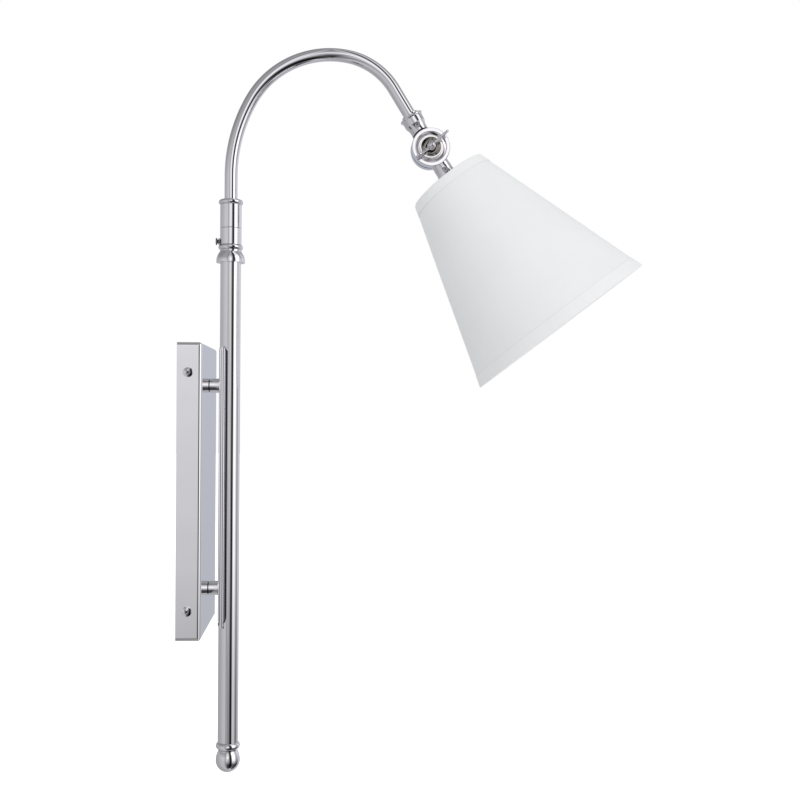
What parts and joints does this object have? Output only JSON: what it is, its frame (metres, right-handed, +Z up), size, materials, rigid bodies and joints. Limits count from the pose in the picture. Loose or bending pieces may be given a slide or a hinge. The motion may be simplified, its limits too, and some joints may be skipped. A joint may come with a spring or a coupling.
{
  "type": "swing arm wall sconce",
  "caption": "Plug-free wall sconce: box backplate, round stem on posts, swivelling gooseneck arm, clamped tilt knuckle and a conical fabric shade",
  "frame": {"origin": "centre of the backplate's wall face, where the bracket meets the wall", "axes": "+X straight out from the wall, +Y along the wall, +Z up along the stem"},
  "size_m": [0.4246, 0.1881, 0.6761],
  "materials": {
    "polished_chrome": "mirror-polished chrome plate with faint handling haze",
    "zinc_steel": "zinc-plated pressed steel, satin",
    "dark_steel": "black nickel plated steel, satin",
    "green_steel": "green lacquered earth screw, satin",
    "terminal_plastic": "ivory moulded plastic",
    "lead_sleeve": "black lead insulation",
    "cable_sheath": "pale grey cable sheath",
    "yellow_brass": "plain turned brass",
    "bush_bronze": "oiled bronze",
    "fibre_washer": "black vulcanised fibre",
    "holder_ceramic": "glazed white insulator",
    "shade_linen": "white linen on a white lining, fine even weave",
    "shade_tape": "white folded fabric tape, fine ribbed weave",
    "bulb_opal": "opal white glass",
    "bulb_cap_metal": "plain spun aluminium"
  },
  "bodies": {
    "wall_mount": {"wall_bracket": "zinc_steel", "backplate": "polished_chrome", "side_screws": "polished_chrome", "earth_screw": "green_steel", "terminal_block": "terminal_plastic", "plate_leads": "lead_sleeve", "stem_cable": "cable_sheath", "upper_post": "polished_chrome", "lower_post": "polished_chrome", "post_nuts": "yellow_brass", "post_washers": "zinc_steel", "stem_bar": "polished_chrome", "stem_tube": "polished_chrome", "foot_bead": "polished_chrome", "ball_finial": "polished_chrome", "stem_bell": "polished_chrome", "lower_sleeve": "polished_chrome", "pivot_bush": "bush_bronze"},
    "thumbscrew": {"thumbscrew": "dark_steel"},
    "arm": {"pivot_spigot": "polished_chrome", "upper_sleeve": "polished_chrome", "gooseneck_tube": "polished_chrome", "arm_cable": "cable_sheath", "arm_socket": "polished_chrome", "arm_grub_screw": "dark_steel", "knuckle_rear": "polished_chrome", "friction_washer": "fibre_washer", "knuckle_bolt": "polished_chrome"},
    "head": {"head_grub_screw": "dark_steel", "knuckle_front": "polished_chrome", "cup_washer": "polished_chrome", "lamp_neck": "polished_chrome", "holder_cap": "polished_chrome", "holder_shell": "polished_chrome", "holder_core": "holder_ceramic", "screw_shell": "yellow_brass", "centre_contact": "yellow_brass", "head_leads": "cable_sheath", "shade_fitter": "zinc_steel", "ring_nut": "zinc_steel", "shade_fabric": "shade_linen", "top_wire": "zinc_steel", "bottom_wire": "zinc_steel", "top_tape_band": "shade_tape", "bottom_tape_band": "shade_tape", "bulb_glass": "bulb_opal", "bulb_cap": "bulb_cap_metal"},
    "wing_nut": {"wing_nut": "polished_chrome"}
  },
  "joints": [
    {"name": "arm_swing", "type": "hinge", "parent": "wall_mount", "child": "arm", "pos_m": [0.0406, 0, 0.2404], "axis": [0, 0, 1], "range_deg": [-70, 70]},
    {"name": "shade_tilt", "type": "hinge", "parent": "arm", "child": "head", "pos_m": [0.22687, 0, 0.31857], "axis": [0, 1, 0], "range_deg": [-104, 35]},
    {"name": "wing_nut_turn", "type": "hinge", "parent": "arm", "child": "wing_nut", "pos_m": [0.22687, -0.012, 0.31857], "axis": [0, -1, 0], "continuous": true},
    {"name": "thumbscrew_turn", "type": "hinge", "parent": "wall_mount", "child": "thumbscrew", "pos_m": [0.03, 0, 0.2283], "axis": [-1, 0, 0], "continuous": true}
  ]
}
